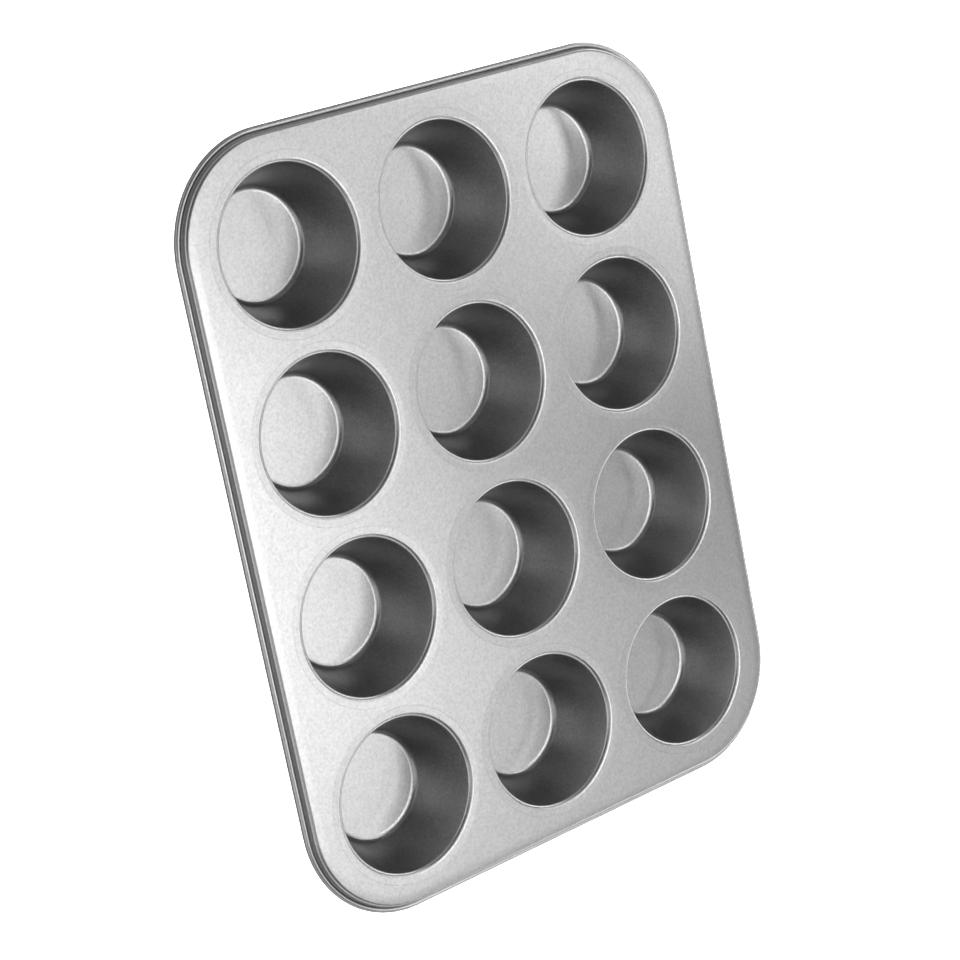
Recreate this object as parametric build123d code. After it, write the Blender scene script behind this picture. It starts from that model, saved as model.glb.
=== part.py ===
from build123d import *

import math
import os

# Muffin tin, in millimetres: a sheet-steel deck with a wired rim, and drawn cups set flush in it.
# +X is the long side and +Z is up. The origin is under the middle of the tin, level with the
# undersides of the cups, which it stands on. Sections are drawn with the deck's upper face at
# height 0, then lifted.

# Sheet
SHEET = 0.5  # thickness of the deck and of every cup
NEST_GAP = 0.05  # between two nested sheets, room for their coating

# Cups: inside sizes, taken to the corners before they are rounded
MOUTH_DIA = 70.0
BASE_DIA = 50.0
CUP_DEPTH = 29.0
MOUTH_FILLET = 2.4  # on the upper face
FLOOR_FILLET = 3.0  # on the inner face
FLANGE_WIDTH = 3.0  # flat ring outside the mouth fillet, flush with the deck

# Layout
ROWS = ("front", "middle", "back")  # along Y
CUPS_PER_ROW = 4  # along X
LAND_LONG = 2.9  # flat deck between neighbouring flanges, along X
LAND_SHORT = 4.0  # and along Y
EDGE_LAND_LONG = 3.5  # flat deck between the last flange and the rim's roll, along X
EDGE_LAND_SHORT = 5.9  # and along Y

# Seat that each cup hangs in
SEAM_GAP = 0.08  # between the flange's edge and the deck's step
STEP_EDGE = 0.1  # radius of the coined corners where the deck steps down under the flange
COLLAR_DEPTH = 4.5  # from the deck's upper face to the collar's lower edge

# Rim
CORNER_RADIUS = 50.0  # outermost line of the rim
RIM_HEIGHT = 5.8  # from the deck's upper face to the curl's underside
ROLL_RADIUS = 40.0  # gentle fall of the deck before the rim, on the upper face
ROLL_TURN = 5.0  # degrees that it turns through
RIM_FILLET = 2.0  # on the upper face
RIM_DRAFT = 12.0  # degrees that the skirt leans outward
WIRE_DIA = 1.6
WIRE_GAP = 0.05  # between the wire and the curl round it
CURL_GAP = 0.1  # between the curl's edge and the skirt
WIRE_END_GAP = 0.6  # between the wire's two ends

FUSE_OVERLAP = 0.1  # length by which a seat runs into the deck plate that it is part of

# Cup geometry that follows
mouth_radius = MOUTH_DIA / 2
wall_slope = (MOUTH_DIA - BASE_DIA) / 2 / CUP_DEPTH
wall_lean = math.atan(wall_slope)
mouth_turn = math.pi / 2 - wall_lean
flange_radius = mouth_radius + MOUTH_FILLET * math.tan(mouth_turn / 2) + FLANGE_WIDTH

# Seat geometry that follows
step_down = SHEET + NEST_GAP
step_radius = flange_radius + SEAM_GAP
seat_radius = step_radius + SHEET + STEP_EDGE

# Rim geometry that follows, outward from the deck's flat edge
roll = math.radians(ROLL_TURN)
lean = math.radians(RIM_DRAFT)
fillet_reach = (ROLL_RADIUS - RIM_FILLET) * math.sin(roll)
fillet_depth = ROLL_RADIUS - (ROLL_RADIUS - RIM_FILLET) * math.cos(roll)
curl_inner = WIRE_DIA / 2 + WIRE_GAP
curl_outer = curl_inner + SHEET
curl_depth = RIM_HEIGHT - curl_outer
skirt_drop = curl_depth - fillet_depth + (RIM_FILLET + curl_inner) * math.sin(lean)
curl_reach = fillet_reach + (RIM_FILLET + curl_inner) * math.cos(lean) + skirt_drop * math.tan(lean)
curl_sweep = 360 - math.degrees(math.acos((curl_inner - CURL_GAP) / curl_outer))

# Deck geometry that follows
pitch_long = 2 * flange_radius + LAND_LONG
pitch_short = 2 * flange_radius + LAND_SHORT
flat_half_long = pitch_long * (CUPS_PER_ROW - 1) / 2 + flange_radius + EDGE_LAND_LONG
flat_half_short = pitch_short * (len(ROWS) - 1) / 2 + flange_radius + EDGE_LAND_SHORT
flat_corner = CORNER_RADIUS - curl_reach - curl_outer
deck_top = CUP_DEPTH + SHEET


def cup_places():
    """Name and centre of every cup: rows from front to back, numbers along +X."""
    places = {}
    for row, row_name in enumerate(ROWS):
        for number in range(CUPS_PER_ROW):
            x = (number - (CUPS_PER_ROW - 1) / 2) * pitch_long
            y = (row - (len(ROWS) - 1) / 2) * pitch_short
            places[f"cup_{row_name}_{number + 1}"] = (x, y)
    return places


def wall_radius(depth, outside):
    """Radius of the cup's wall at a depth, on a face that lies `outside` its inner face."""
    return mouth_radius - depth * wall_slope + outside / math.cos(wall_lean)


def strip_face(line_at):
    """Section of a sheet between its upper line, line_at(0), and its lower, line_at(SHEET)."""
    upper, lower = line_at(0), line_at(SHEET)
    ends = [Line(upper @ 0, lower @ 0), Line(upper @ 1, lower @ 1)]
    return Plane.XZ * make_face([upper, lower, *ends])


def cup_line(below):
    """Cup from floor centre to flange edge, on the face `below` its upper face."""
    floor = -(CUP_DEPTH + below)
    return FilletPolyline(
        (0, floor),
        (wall_radius(-floor, below), floor),
        (wall_radius(below, below), -below),
        (flange_radius, -below),
        radius=(FLOOR_FILLET + below, MOUTH_FILLET - below),
    )


def seat_line(below):
    """Seat from collar edge to deck plate, on the face `below` its upper face."""
    nest = step_down + below
    return FilletPolyline(
        (wall_radius(COLLAR_DEPTH, nest), -COLLAR_DEPTH),
        (wall_radius(nest, nest), -nest),
        (step_radius + below, -nest),
        (step_radius + below, -below),
        (seat_radius + FUSE_OVERLAP, -below),
        radius=(MOUTH_FILLET - nest, STEP_EDGE + below / 2, STEP_EDGE),
    )


def rim_line(below):
    """Rim from the deck's flat edge: gentle roll, fillet, skirt, then round the curl."""
    fillet_centre = (flat_corner + fillet_reach, -fillet_depth)
    curl_centre = (flat_corner + curl_reach, -curl_depth)
    edge_roll = CenterArc((flat_corner, -ROLL_RADIUS), ROLL_RADIUS - below, 90, -ROLL_TURN)
    fillet = CenterArc(fillet_centre, RIM_FILLET - below, 90 - ROLL_TURN, ROLL_TURN + RIM_DRAFT - 90)
    curl = CenterArc(curl_centre, curl_inner + below, 180 + RIM_DRAFT, curl_sweep)
    return Wire([edge_roll, fillet, Line(fillet @ 1, curl @ 0), curl])


def around_deck(section):
    """Carries a section, drawn outward from a corner's centre, right round the deck."""
    centre_x, centre_y = flat_half_long - flat_corner, flat_half_short - flat_corner
    corner = revolve(section, Axis.Z, 90)
    corners = [(1, 1), (-1, 1), (-1, -1), (1, -1)]
    solids = []
    for turn, (side_x, side_y) in enumerate(corners):
        run = 2 * (centre_x if turn % 2 else centre_y)
        place = Pos(side_x * centre_x, side_y * centre_y) * Rot(0, 0, 90 * turn)
        solids += [place * corner, place * extrude(section, run, dir=(0, -1, 0))]
    return solids


def make_cup():
    """Drawn cup: round flat floor, plain tapered wall, rounded mouth and flat flange."""
    return revolve(strip_face(cup_line), Axis.Z)


def make_seat():
    """Part of the deck: step down under a flange, and collar turned down round the cup's neck."""
    return revolve(strip_face(seat_line), Axis.Z)


def make_deck():
    """Deck plate with a seat for every cup, and a rim curled outward round the wire."""
    outline = RectangleRounded(2 * flat_half_long, 2 * flat_half_short, flat_corner)
    centres = [Pos(x, y) for x, y in cup_places().values()]
    for centre in centres:
        outline -= centre * Circle(seat_radius)
    seat = make_seat()
    seats = [centre * seat for centre in centres]
    return extrude(outline, -SHEET) + around_deck(strip_face(rim_line)) + seats


def make_rim_wire():
    """Round wire inside the curl, its two ends facing each other half way along the back."""
    section = Pos(flat_corner + curl_reach, -curl_depth) * Circle(WIRE_DIA / 2)
    ring = Part() + around_deck(Plane.XZ * section)
    back = (0, flat_half_short + curl_reach, -curl_depth)
    return ring - Pos(back) * Box(WIRE_END_GAP, 2 * WIRE_DIA, 2 * WIRE_DIA)


def make_nodes():
    """Every piece of the tin, by node name, in its place."""
    cup = make_cup()
    nodes = {"deck": make_deck(), "rim_wire": make_rim_wire()}
    for name, (x, y) in cup_places().items():
        nodes[name] = Pos(x, y) * cup
    return {name: Pos(0, 0, deck_top) * piece for name, piece in nodes.items()}


os.makedirs("parts", exist_ok=True)
for node, piece in make_nodes().items():
    export_step(piece, f"parts/{node}.step")
length = 2 * (flat_half_long + curl_reach + curl_outer)
width = 2 * (flat_half_short + curl_reach + curl_outer)
print(f"overall {length:.1f} x {width:.1f} x {deck_top:.1f}, cup pitch {pitch_long:.2f} x {pitch_short:.2f}")
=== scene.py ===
import math

import bmesh
import bpy
from bpy.props import FloatProperty, FloatVectorProperty, IntProperty, PointerProperty, StringProperty
from mathutils import Matrix, Vector


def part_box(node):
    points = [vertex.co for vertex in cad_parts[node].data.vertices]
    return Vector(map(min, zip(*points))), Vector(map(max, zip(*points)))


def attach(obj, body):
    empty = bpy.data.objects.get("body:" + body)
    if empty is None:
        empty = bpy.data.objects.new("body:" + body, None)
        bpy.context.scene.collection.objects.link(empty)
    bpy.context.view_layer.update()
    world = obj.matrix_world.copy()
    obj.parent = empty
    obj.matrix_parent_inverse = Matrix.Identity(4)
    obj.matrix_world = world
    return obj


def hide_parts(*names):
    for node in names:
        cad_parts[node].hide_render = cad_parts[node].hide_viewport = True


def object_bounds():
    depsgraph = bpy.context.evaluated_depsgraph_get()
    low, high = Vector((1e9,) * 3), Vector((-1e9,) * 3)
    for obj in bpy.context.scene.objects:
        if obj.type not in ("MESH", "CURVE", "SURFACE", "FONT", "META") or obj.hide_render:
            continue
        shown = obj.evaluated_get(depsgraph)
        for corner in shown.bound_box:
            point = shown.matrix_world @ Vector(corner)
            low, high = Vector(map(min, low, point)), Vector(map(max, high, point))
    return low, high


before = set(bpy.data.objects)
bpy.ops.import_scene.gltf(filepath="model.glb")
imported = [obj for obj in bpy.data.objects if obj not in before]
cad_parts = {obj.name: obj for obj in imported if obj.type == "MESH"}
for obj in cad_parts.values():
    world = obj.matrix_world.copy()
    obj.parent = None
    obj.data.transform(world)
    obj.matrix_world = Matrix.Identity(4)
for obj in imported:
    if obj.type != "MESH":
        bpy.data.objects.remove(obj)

bl_info = {
    "name": "Muffin Tin",
    "version": (1, 0, 0),
    "blender": (4, 5, 0),
    "location": "View3D > Sidebar > Muffin Tin",
    "description": "Builds a sheet-steel muffin tin with a non-stick coating round its CAD frame",
    "category": "Object",
}

CAD_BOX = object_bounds()
BODY = "root"
DECK = "deck"
WIRE = "rim_wire"
CUPS = sorted(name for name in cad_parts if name.startswith("cup_"))
MM = 0.001


# ---------------------------------------------------------------- sizes and colours a user may change


class TinSizes(bpy.types.PropertyGroup):
    """Sizes of the pressed sheet that the frame's boxes don't give."""

    sheet: FloatProperty(
        name="Sheet", description="Thickness of the steel sheet", default=0.5 * MM, unit="LENGTH"
    )
    mouth: FloatProperty(
        name="Cup mouth", description="Inside diameter where wall and deck meet",
        default=70 * MM, unit="LENGTH",
    )
    base: FloatProperty(
        name="Cup base", description="Inside diameter where wall and floor meet",
        default=50 * MM, unit="LENGTH",
    )
    mouth_fillet: FloatProperty(
        name="Mouth fillet", description="Radius of the rounded mouth, upper face",
        default=2.4 * MM, unit="LENGTH",
    )
    floor_fillet: FloatProperty(
        name="Floor fillet", description="Radius between floor and wall, inner face",
        default=3 * MM, unit="LENGTH",
    )
    nest_gap: FloatProperty(
        name="Nest gap", description="Room between a cup and its seat", default=0.05 * MM, unit="LENGTH"
    )
    seam_gap: FloatProperty(
        name="Seam gap", description="Room left round a cup's flange by the coating",
        default=0.02 * MM, unit="LENGTH",
    )
    seam_edge: FloatProperty(
        name="Seam edge", description="Rounding of both edges of the coated seam",
        default=0.04 * MM, unit="LENGTH",
    )
    step_bend: FloatProperty(
        name="Step bend", description="Inside radius where a seat steps down", default=0.1 * MM, unit="LENGTH"
    )
    flange_dish: FloatProperty(
        name="Flange dish", description="Fall of a flange's face to the mouth, where the sheet thins",
        default=0.04 * MM, unit="LENGTH",
    )
    collar: FloatProperty(
        name="Collar", description="Depth of the collar's edge under the deck's face",
        default=4.5 * MM, unit="LENGTH",
    )
    corner: FloatProperty(
        name="Corner", description="Radius of the rim's outermost line at a corner",
        default=50 * MM, unit="LENGTH",
    )
    roll: FloatProperty(
        name="Roll", description="Radius of the deck's gentle fall before the rim",
        default=40 * MM, unit="LENGTH",
    )
    roll_turn: FloatProperty(
        name="Roll turn", description="Angle of that fall", default=math.radians(5), subtype="ANGLE"
    )
    rim_fillet: FloatProperty(
        name="Rim fillet", description="Radius between deck and skirt, upper face",
        default=2 * MM, unit="LENGTH",
    )
    rim_draft: FloatProperty(
        name="Rim draft", description="Outward lean of the skirt", default=math.radians(12), subtype="ANGLE"
    )
    wire: FloatProperty(
        name="Wire", description="Diameter of the wire in the rim", default=1.6 * MM, unit="LENGTH"
    )
    wire_gap: FloatProperty(
        name="Wire gap", description="Room between wire and curl", default=0.05 * MM, unit="LENGTH"
    )
    curl_gap: FloatProperty(
        name="Curl gap", description="Room between the curl's edge and the skirt",
        default=0.1 * MM, unit="LENGTH",
    )
    coin_radius: FloatProperty(
        name="Coined line", description="Radius of the fine line pressed round a mouth", default=36.95 * MM,
        unit="LENGTH",
    )
    coin_width: FloatProperty(
        name="Coined line width", description="Width of that line", default=0.4 * MM, unit="LENGTH"
    )
    coin_depth: FloatProperty(
        name="Coined line depth", description="Depth of that line", default=0.03 * MM, unit="LENGTH"
    )
    edge_round: FloatProperty(
        name="Edge round", description="Rounding of a cut edge under its coating",
        default=0.08 * MM, unit="LENGTH",
    )
    facets: IntProperty(
        name="Facets", description="Facets round one cup", default=144, min=24
    )


class TinFinish(bpy.types.PropertyGroup):
    """Colours of the coating, the wire and the floor, as sRGB."""

    coating: StringProperty(
        name="Coating", description="Colour of the non-stick coating between flakes, sRGB hex",
        default="#989898",
    )
    flake: StringProperty(
        name="Flake", description="Colour of its brighter flakes, sRGB hex", default="#bcbcbc"
    )
    wire: StringProperty(
        name="Wire", description="Colour of the bare drawn steel, sRGB hex", default="#a9a8a6"
    )
    floor: StringProperty(
        name="Floor", description="Colour of the paper floor, sRGB hex", default="#f4f4f4"
    )
    coating_roughness: FloatProperty(
        name="Coating roughness", description="Mean roughness of the coating", default=0.3, subtype="FACTOR"
    )


class TinStage(bpy.types.PropertyGroup):
    """Camera and lights."""

    azimuth: FloatProperty(
        name="Azimuth", description="Heading of the view, from +Y towards +X", default=math.radians(21.24),
        subtype="ANGLE",
    )
    elevation: FloatProperty(
        name="Elevation", description="Angle by which the view looks down", default=math.radians(52.08),
        subtype="ANGLE",
    )
    roll: FloatProperty(
        name="Roll", description="Turn of the picture about the line of sight", default=math.radians(-95.71),
        subtype="ANGLE",
    )
    distance: FloatProperty(
        name="Distance", description="From the camera to the point it aims at", default=1.198, unit="LENGTH"
    )
    lens: FloatProperty(name="Lens", description="Focal length in millimetres", default=101.45)
    aim: FloatVectorProperty(
        name="Aim", description="Point aimed at, from the middle of the deck's upper face",
        default=(0.0007, -0.0116, 0.0), subtype="XYZ", unit="LENGTH",
    )


# ---------------------------------------------------------------- colour and node helpers


def linear(hex_colour):
    """Linear RGBA of an sRGB hex colour, by the standard curve."""
    channels = [int(hex_colour.lstrip("#")[i:i + 2], 16) / 255 for i in (0, 2, 4)]
    return (*[c / 12.92 if c <= 0.04045 else ((c + 0.055) / 1.055) ** 2.4 for c in channels], 1.0)


def add_node(tree, kind, settings=None, links=None):
    """Adds a node, sets its properties or sockets, and links sockets into it.

    A name that is a property of the node sets that; any other, or a number, picks a socket.
    """
    node = tree.nodes.new(kind)
    for name, value in (settings or {}).items():
        if isinstance(name, str) and hasattr(node, name):
            setattr(node, name, value)
        else:
            node.inputs[name].default_value = value
    for name, source in (links or {}).items():
        tree.links.new(source, node.inputs[name])
    return node


MIX_A, MIX_B, MIX_OUT = 6, 7, 2  # places of a Mix node's two colours and of its mixed colour


def new_material(name):
    """An empty node material and its tree."""
    material = bpy.data.materials.new(name)
    material.use_nodes = True
    material.node_tree.nodes.clear()
    return material, material.node_tree


# ---------------------------------------------------------------- materials


def coated_steel(finish):
    """Silver-grey non-stick coating on carbon steel sheet.

    A sprayed and baked resin full of aluminium flake: it mirrors like satin metal, softly, with a
    fine grain where the flakes lie at slightly different angles.
    """
    grain = 1.2 * MM  # real clusters of flakes are about 0.2 mm, too fine to show, so drawn coarser
    relief = 0.02 * MM  # height of the flakes under the resin
    mottle = 26 * MM  # slow drift of the spray's thickness
    spread = 0.02  # how far that drift changes the roughness, each way
    material, tree = new_material("silver_nonstick_coating_on_carbon_steel")
    place = add_node(tree, "ShaderNodeTexCoord").outputs["Object"]
    flakes = add_node(tree, "ShaderNodeTexNoise", {"Scale": 1 / grain, "Detail": 1.0}, {"Vector": place})
    drift = add_node(tree, "ShaderNodeTexNoise", {"Scale": 1 / mottle, "Detail": 2.0}, {"Vector": place})
    tone = add_node(tree, "ShaderNodeMix",
                    {"data_type": "RGBA", MIX_A: linear(finish.coating), MIX_B: linear(finish.flake)},
                    {"Factor": flakes.outputs["Fac"]})
    rough = add_node(tree, "ShaderNodeMapRange", {"To Min": finish.coating_roughness - spread,
                                                  "To Max": finish.coating_roughness + spread},
                     {"Value": drift.outputs["Fac"]})
    bump = add_node(tree, "ShaderNodeBump", {"Strength": 0.4, "Distance": relief},
                    {"Height": flakes.outputs["Fac"]})
    shader = add_node(tree, "ShaderNodeBsdfPrincipled", {"Metallic": 1.0},
                      {"Base Color": tone.outputs[MIX_OUT],
                       "Roughness": rough.outputs["Result"], "Normal": bump.outputs["Normal"]})
    add_node(tree, "ShaderNodeOutputMaterial", links={"Surface": shader.outputs["BSDF"]})
    return material


def drawn_wire(finish):
    """Bare drawn steel wire: a dull grey metal, finely uneven in gloss where the die has rubbed it."""
    marks = 0.3 * MM  # size of the rubbed spots
    material, tree = new_material("bare_drawn_steel_wire")
    place = add_node(tree, "ShaderNodeTexCoord").outputs["Object"]
    noise = add_node(tree, "ShaderNodeTexNoise", {"Scale": 1 / marks, "Detail": 3.0}, {"Vector": place})
    rough = add_node(tree, "ShaderNodeMapRange", {"To Min": 0.35, "To Max": 0.5},
                     {"Value": noise.outputs["Fac"]})
    shader = add_node(tree, "ShaderNodeBsdfPrincipled", {"Metallic": 1.0, "Base Color": linear(finish.wire)},
                      {"Roughness": rough.outputs["Result"]})
    add_node(tree, "ShaderNodeOutputMaterial", links={"Surface": shader.outputs["BSDF"]})
    return material


def paper_floor(finish):
    """Matt white seamless paper: even, with no gloss.

    It is clear from behind, so that the tin's underside can be seen.
    """
    material, tree = new_material("matt_white_paper")
    paper = add_node(tree, "ShaderNodeBsdfPrincipled",
                     {"Base Color": linear(finish.floor), "Roughness": 0.9, "Specular IOR Level": 0.1,
                      "Emission Color": linear(finish.floor), "Emission Strength": 0.8})
    clear = add_node(tree, "ShaderNodeBsdfTransparent")
    behind = add_node(tree, "ShaderNodeNewGeometry").outputs["Backfacing"]
    sheet = add_node(tree, "ShaderNodeMixShader",
                     links={"Fac": behind, 1: paper.outputs["BSDF"], 2: clear.outputs["BSDF"]})
    add_node(tree, "ShaderNodeOutputMaterial", links={"Surface": sheet.outputs["Shader"]})
    material.cycles.emission_sampling = "NONE"  # its glow only has to be seen, so no light is aimed from it
    return material


def material_of(maker):
    """A material of this script, made once."""
    if maker.__name__ not in bpy.context.scene:
        bpy.context.scene[maker.__name__] = maker(bpy.context.scene.tin_finish)
    return bpy.context.scene[maker.__name__]


# ---------------------------------------------------------------- sections, in metres, deck face at 0

ARC_SAG = 0.004 * MM  # most that a chord of a rounded corner may lie inside it
FINEST_STEP, COARSEST_STEP = math.radians(3), math.radians(50)  # turn between two points of an arc
LONG_RUN = 5 * MM  # a straight run is divided into lengths no longer than this
STRAIGHT = 1e-4  # a smaller turn than this is no corner
SUPPORT = 0.3 * MM  # flat strip that keeps the shading of a bend off the flat plate


def arc(centre, radius, start, turn):
    """Points along an arc, both ends included."""
    step = 2 * math.acos(1 - min(ARC_SAG / radius, 1))
    steps = max(2, math.ceil(abs(turn) / min(max(step, FINEST_STEP), COARSEST_STEP)))
    angles = [start + turn * i / steps for i in range(steps + 1)]
    return [Vector((centre[0] + radius * math.cos(a), centre[1] + radius * math.sin(a))) for a in angles]


def rounded_line(corners):
    """Line through (x, z, radius) corners, each one rounded to its radius."""
    places = [Vector(c[:2]) for c in corners]
    line = [places[0]]
    for before, here, after, radius in zip(places, places[1:], places[2:], [c[2] for c in corners[1:]]):
        into, out = (here - before).normalized(), (after - here).normalized()
        turn = -into.angle_signed(out)
        if radius <= 0 or abs(turn) < STRAIGHT:
            line.append(here)
            continue
        side = 1 if turn > 0 else -1
        reach = radius * math.tan(abs(turn) / 2)
        normal = Vector((-into.y, into.x)) * side
        centre = here - into * reach + normal * radius
        line += arc(centre, radius, math.atan2(-normal.y, -normal.x), turn)
    return line + [places[-1]]


def divided(line):
    """The line with its long straight runs cut into even lengths."""
    result = [line[0]]
    for a, b in zip(line, line[1:]):
        parts = max(1, math.ceil((b - a).length / LONG_RUN))
        result += [a.lerp(b, i / parts) for i in range(1, parts + 1)]
    return result


class CupShape:
    """The cup's wall, from the sizes and the height of its CAD box."""

    def __init__(self, sizes, low, high):
        self.depth = high.z - low.z - sizes.sheet
        self.mouth = sizes.mouth / 2
        self.slope = (sizes.mouth - sizes.base) / 2 / self.depth
        self.lean = math.atan(self.slope)
        self.flange = (high.x - low.x) / 2

    def wall(self, depth, outside):
        """Radius at a depth, on the face that lies `outside` the wall's inner face."""
        return self.mouth - depth * self.slope + outside / math.cos(self.lean)


def cup_section(sizes, shape):
    """Closed section of a cup, from the axis over the inside and back under the outside."""
    t = sizes.sheet
    floor, under = shape.depth, shape.depth + t
    return divided(rounded_line([
        (0, -floor, 0),
        (shape.wall(floor, 0), -floor, sizes.floor_fillet),
        (shape.mouth, -sizes.flange_dish, sizes.mouth_fillet),
        (sizes.coin_radius - sizes.coin_width / 2, -sizes.flange_dish, 0),
        (sizes.coin_radius, -sizes.flange_dish - sizes.coin_depth, 0),
        (sizes.coin_radius + sizes.coin_width / 2, -sizes.flange_dish, 0),
        (shape.flange, 0, sizes.seam_edge),
        (shape.flange, -t, sizes.edge_round),
        (shape.wall(t, t), -t, sizes.mouth_fillet - t),
        (shape.wall(under, t), -under, sizes.floor_fillet + t),
        (0, -under, 0),
    ]))


def seat_section(sizes, shape):
    """Section of a seat, from the deck's upper face, round the collar's edge, to its lower face."""
    t, edge, bend = sizes.sheet, sizes.edge_round, sizes.step_bend
    nest = t + sizes.nest_gap
    step = shape.flange + sizes.seam_gap
    plate = step + t + bend + SUPPORT
    return divided(rounded_line([
        (plate, 0, 0),
        (step, 0, sizes.seam_edge),
        (step, -nest, bend),
        (shape.wall(nest, nest), -nest, sizes.mouth_fillet - nest),
        (shape.wall(sizes.collar, nest), -sizes.collar, edge),
        (shape.wall(sizes.collar, nest + t), -sizes.collar, edge),
        (shape.wall(nest + t, nest + t), -nest - t, sizes.mouth_fillet - nest - t),
        (step + t, -nest - t, bend + t / 2),
        (step + t, -t, bend),
        (plate, -t, 0),
    ]))


def rim_section(sizes, height):
    """Section of the rim, outward from the deck's flat edge, and how far out it reaches."""
    t, roll, lean = sizes.sheet, sizes.roll_turn, sizes.rim_draft
    inner = sizes.wire / 2 + sizes.wire_gap
    outer = inner + t
    between = sizes.roll - sizes.rim_fillet
    top = Vector((between * math.sin(roll), between * math.cos(roll) - sizes.roll))
    across = sizes.rim_fillet + inner
    drop = height - outer + top.y + across * math.sin(lean)
    middle = Vector((top.x + across * math.cos(lean) + drop * math.tan(lean), outer - height))
    sweep = 2 * math.pi - math.acos((inner - sizes.curl_gap) / outer)
    upper, lower = [
        [Vector((-SUPPORT, -below)),
         *arc((0, -sizes.roll), sizes.roll - below, math.pi / 2, -roll),
         *arc(top, sizes.rim_fillet - below, math.pi / 2 - roll, roll + lean - math.pi / 2)[1:],
         *arc(middle, inner + below, math.pi + lean, sweep)]
        for below in (0, t)
    ]
    return divided(upper + lower[::-1]), middle.x + outer


# ---------------------------------------------------------------- meshes

ON_AXIS = 1e-9  # a radius that is nothing but rounding error
SHARP = math.radians(38)  # a larger turn between two faces is shaded as an edge


def join_rings(bm, rings):
    """Skins a row of closed rings with quads; a ring of one vertex becomes the tip of a fan."""
    for a, b in zip(rings, rings[1:]):
        count = max(len(a), len(b))
        for i in range(count):
            j = (i + 1) % count
            corners = [a[i % len(a)], a[j % len(a)], b[j % len(b)], b[i % len(b)]]
            bm.faces.new(list(dict.fromkeys(corners)))


def round_ring(bm, centre, radius, height, facets):
    """Ring of vertices about an upright axis, or one vertex on the axis."""
    if radius < ON_AXIS:
        return [bm.verts.new((centre.x, centre.y, height))]
    turns = [2 * math.pi * i / facets for i in range(facets)]
    return [bm.verts.new((centre.x + radius * math.cos(a), centre.y + radius * math.sin(a), height))
            for a in turns]


def deck_ring(bm, half, corner, out, height, steps):
    """Ring of vertices along the deck's rounded outline, `out` beyond it."""
    ring = []
    for turn, (side_x, side_y) in enumerate([(1, 1), (-1, 1), (-1, -1), (1, -1)]):
        for i in range(steps + 1):
            a = math.pi / 2 * (turn + i / steps)
            x = side_x * (half.x - corner) + (corner + out) * math.cos(a)
            y = side_y * (half.y - corner) + (corner + out) * math.sin(a)
            ring.append(bm.verts.new((x, y, height)))
    return ring


def ring_edges(ring):
    """Edges between neighbouring vertices of a ring."""
    edges = []
    for a, b in zip(ring, ring[1:] + ring[:1]):
        edges.append(next(e for e in a.link_edges if e.other_vert(a) is b))
    return edges


def finish_piece(bm, name, material, nodes):
    """Turns a bmesh into a piece that rides on the tin and stands for its CAD nodes."""
    bmesh.ops.recalc_face_normals(bm, faces=bm.faces)
    mesh = bpy.data.meshes.new(name)
    bm.to_mesh(mesh)
    bm.free()
    mesh.shade_smooth()
    mesh.set_sharp_from_angle(angle=SHARP)
    mesh.materials.append(material)
    piece = bpy.data.objects.new(name, mesh)
    bpy.context.scene.collection.objects.link(piece)
    weighted = piece.modifiers.new("flat faces stay flat", "WEIGHTED_NORMAL")
    weighted.keep_sharp = True
    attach(piece, BODY)
    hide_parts(*nodes)
    return piece


# ---------------------------------------------------------------- operators


class TIN_OT_cups(bpy.types.Operator):
    """Drawn cups: flat floor, tapered wall, rounded mouth and flat flange"""

    bl_idname = "tin.cups"
    bl_label = "Drawn cups"

    def execute(self, context):
        sizes = context.scene.tin_sizes
        coating = material_of(coated_steel)
        for name in CUPS:
            low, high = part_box(name)
            section = cup_section(sizes, CupShape(sizes, low, high))
            bm = bmesh.new()
            centre = (low + high) / 2
            rings = [round_ring(bm, centre, p.x, high.z + p.y, sizes.facets) for p in section]
            join_rings(bm, rings)
            finish_piece(bm, f"drawn_{name}", coating, [name])
        return {"FINISHED"}


class TIN_OT_deck(bpy.types.Operator):
    """Pressed deck: flat plate with a seat for every cup, and a curled rim"""

    bl_idname = "tin.deck"
    bl_label = "Pressed deck"

    def execute(self, context):
        sizes = context.scene.tin_sizes
        low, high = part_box(DECK)
        section, reach = rim_section(sizes, high.z - low.z)
        half = (high - low) / 2 - Vector((reach, reach, 0))
        corner = sizes.corner - reach
        bm = bmesh.new()
        steps = sizes.facets // 4  # each corner is a quarter of a turn
        rings = [deck_ring(bm, half, corner, p.x, high.z + p.y, steps) for p in section]
        join_rings(bm, rings)
        upper, lower = ring_edges(rings[0]), ring_edges(rings[-1])
        for name in CUPS:
            cup_low, cup_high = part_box(name)
            seat = seat_section(sizes, CupShape(sizes, cup_low, cup_high))
            centre = (cup_low + cup_high) / 2
            rings = [round_ring(bm, centre, p.x, high.z + p.y, sizes.facets) for p in seat]
            join_rings(bm, rings)
            upper += ring_edges(rings[0])
            lower += ring_edges(rings[-1])
        for edges in (upper, lower):
            bmesh.ops.triangle_fill(bm, edges=edges, use_beauty=True, normal=(0, 0, 1))
        finish_piece(bm, "pressed_deck", material_of(coated_steel), [DECK])
        return {"FINISHED"}


class TIN_OT_wire(bpy.types.Operator):
    """Wire in the curl: the CAD wire, with the finish of drawn steel"""

    bl_idname = "tin.wire"
    bl_label = "Rim wire"

    def execute(self, context):
        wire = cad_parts[WIRE]
        wire.data.materials.clear()
        wire.data.materials.append(material_of(drawn_wire))
        return {"FINISHED"}


# ---------------------------------------------------------------- stage


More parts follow.
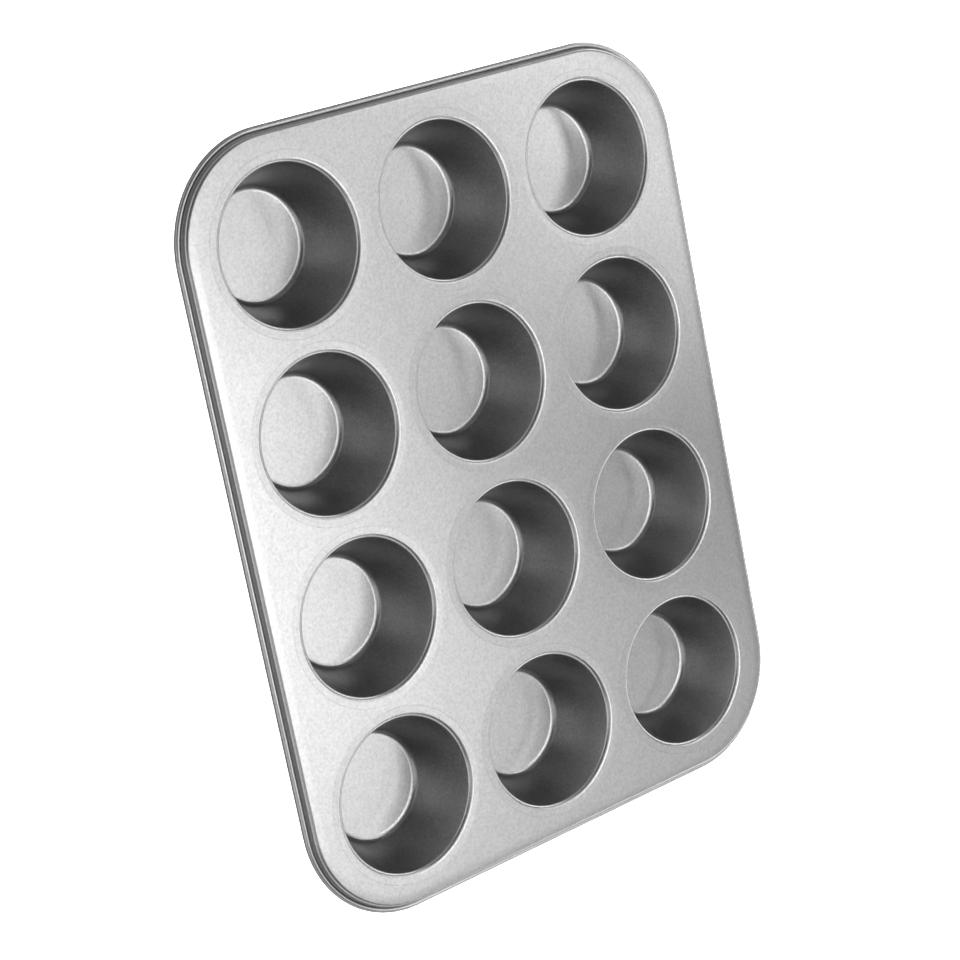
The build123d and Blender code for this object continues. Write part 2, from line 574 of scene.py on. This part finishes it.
class TIN_OT_stage(bpy.types.Operator):
    """Pale floor, soft studio lights and the camera"""

    bl_idname = "tin.stage"
    bl_label = "Stage"

    def execute(self, context):
        scene = context.scene
        low, high = CAD_BOX
        add_floor(low)
        add_lights(scene)
        add_camera(scene, (low + high) / 2, high.z)
        return {"FINISHED"}


def add_floor(low):
    """Seamless paper: a flat floor that sweeps up, beyond the lights, into walls and a ceiling."""
    flat, sweep, wall = 3.0, 1.0, 4.0  # radius of the flat, radius of the sweep, height of the walls
    clearance = 0.05 * MM  # keeps the paper off the cup floors that stand on it
    facets = 96
    line = [Vector((0, 0)), *arc((flat, sweep), sweep, -math.pi / 2, math.pi / 2),
            Vector((flat + sweep, wall)), Vector((0, wall))]
    bm = bmesh.new()
    centre = Vector((0, 0, 0))
    rings = [round_ring(bm, centre, p.x, low.z - clearance + p.y, facets) for p in line]
    join_rings(bm, rings)
    bm.normal_update()
    if next(iter(bm.faces)).normal.z < 0:  # the paper's front faces the tin
        bmesh.ops.reverse_faces(bm, faces=bm.faces)
    mesh = bpy.data.meshes.new("floor")
    bm.to_mesh(mesh)
    bm.free()
    mesh.shade_smooth()
    mesh.materials.append(material_of(paper_floor))
    floor = bpy.data.objects.new("floor", mesh)
    floor.visible_glossy = False
    bpy.context.scene.collection.objects.link(floor)


SOFTBOX_DISTANCE = 1.5  # from the middle of the tin's base
OVERHEAD = "overhead"  # the one box that spans the zenith
SOFTBOXES = (
    # name, headings it spans from +Y towards +X, heights it spans above the horizon, in degrees, and radiance
    ("back_key", (12, 22), (58, 76), 4.2),
    ("back_right", (22, 65), (52, 76), 3.1),
    ("back_left", (-50, 12), (58, 76), 1.6),
    ("back_strip", (-50, 12), (47, 52), 4.6),
    ("back_strip_soft", (-50, 12), (42, 47), 1.7),
    ("back_right_soft", (22, 65), (42, 47), 1.5),
    ("back_right_dim", (22, 70), (20, 42), 0.5),
    ("back_low_left", (-50, 8), (3, 18), 3.8),
    ("back_low_right", (8, 65), (3, 18), 3.8),
    ("side_low", (65, 135), (3, 25), 1.4),
    ("side_high", (65, 135), (50, 76), 0.6),
    ("left_low", (-120, -50), (3, 25), 0.7),
    ("front_low", (135, 240), (3, 25), 1.4),
    ("front_spot", (140, 185), (22, 62), 0.8),
    ("front_fill", (135, 240), (45, 76), 0.08),
    ("left_fill", (-120, -50), (25, 76), 0.15),
    (OVERHEAD, (-14, 14), (76, 104), 1.8),
)


def add_softbox(name, headings, heights, radiance):
    """Soft light aimed at the tin, unseen by the camera, that spans the given headings and heights."""
    heading, height = math.radians(sum(headings) / 2), math.radians(sum(heights) / 2)
    half_across, half_up = [math.radians(span[1] - span[0]) / 2 for span in (headings, heights)]
    # Headings draw together towards the zenith, and across it a box's span is its plain angle.
    narrowing = 1.0 if name == OVERHEAD else math.cos(height)
    light = bpy.data.lights.new(name, "AREA")
    light.shape = "RECTANGLE"
    light.size = 2 * SOFTBOX_DISTANCE * math.tan(half_across) * narrowing
    light.size_y = 2 * SOFTBOX_DISTANCE * math.tan(half_up)
    light.energy = radiance * math.pi * light.size * light.size_y
    box = bpy.data.objects.new(name, light)
    level = math.cos(height)
    out = Vector((math.sin(heading) * level, math.cos(heading) * level, math.sin(height)))
    across = Vector((math.cos(heading), -math.sin(heading), 0))
    turn = Matrix((across, out.cross(across), out)).transposed().to_4x4()
    box.matrix_world = Matrix.Translation(out * SOFTBOX_DISTANCE) @ turn
    box.visible_camera = False
    bpy.context.scene.collection.objects.link(box)


def add_lights(scene):
    """Softboxes, most of them behind the tin, in a dim room with a grey floor that the steel mirrors."""
    for softbox in SOFTBOXES:
        add_softbox(*softbox)
    room, below = 0.03, 0.25  # strengths above and below the horizon
    blend = 0.05  # half height of the band between them, as the sine of its angle
    world = bpy.data.worlds.new("studio")
    world.use_nodes = True
    tree = world.node_tree
    direction = add_node(tree, "ShaderNodeTexCoord").outputs["Generated"]
    height = add_node(tree, "ShaderNodeSeparateXYZ", links={"Vector": direction}).outputs["Z"]
    strength = add_node(tree, "ShaderNodeMapRange", {"From Min": -blend, "From Max": blend,
                                                     "To Min": below, "To Max": room}, {"Value": height})
    background = tree.nodes["Background"]
    background.inputs["Color"].default_value = linear("#ffffff")
    tree.links.new(strength.outputs["Result"], background.inputs["Strength"])
    scene.world = world


def add_camera(scene, centre, deck_height):
    """Camera that looks down on the tin along its heading, and is rolled about its line of sight."""
    view = scene.tin_stage
    ahead = Vector((math.sin(view.azimuth) * math.cos(view.elevation),
                    math.cos(view.azimuth) * math.cos(view.elevation), -math.sin(view.elevation)))
    level = Vector((math.cos(view.azimuth), -math.sin(view.azimuth), 0))
    upright = level.cross(ahead)
    up = upright * math.cos(view.roll) + level * math.sin(view.roll)
    right = ahead.cross(up)
    data = bpy.data.cameras.new("camera")
    data.lens = view.lens
    camera = bpy.data.objects.new("camera", data)
    target = Vector((centre.x, centre.y, deck_height)) + Vector(view.aim)
    turn = Matrix((right, up, -ahead)).transposed()
    camera.matrix_world = Matrix.Translation(target - ahead * view.distance) @ turn.to_4x4()
    scene.collection.objects.link(camera)
    scene.camera = camera
    scene.view_settings.view_transform = "Standard"


# ---------------------------------------------------------------- panel and registration


OPERATORS = (TIN_OT_deck, TIN_OT_cups, TIN_OT_wire, TIN_OT_stage)


class TIN_PT_panel(bpy.types.Panel):
    """Lists the pieces of the tin in the order they are made"""

    bl_idname = "TIN_PT_panel"
    bl_label = "Muffin Tin"
    bl_space_type = "VIEW_3D"
    bl_region_type = "UI"
    bl_category = "Muffin Tin"

    def draw(self, context):
        for operator in OPERATORS:
            self.layout.operator(operator.bl_idname)


CLASSES = (TinSizes, TinFinish, TinStage, *OPERATORS, TIN_PT_panel)


def register():
    for cls in CLASSES:
        bpy.utils.register_class(cls)
    bpy.types.Scene.tin_sizes = PointerProperty(type=TinSizes)
    bpy.types.Scene.tin_finish = PointerProperty(type=TinFinish)
    bpy.types.Scene.tin_stage = PointerProperty(type=TinStage)


def unregister():
    del bpy.types.Scene.tin_stage
    del bpy.types.Scene.tin_finish
    del bpy.types.Scene.tin_sizes
    for cls in reversed(CLASSES):
        bpy.utils.unregister_class(cls)


def main():
    register()
    bpy.ops.tin.deck()
    bpy.ops.tin.cups()
    bpy.ops.tin.wire()
    bpy.ops.tin.stage()


if __name__ == "__main__":
    main()
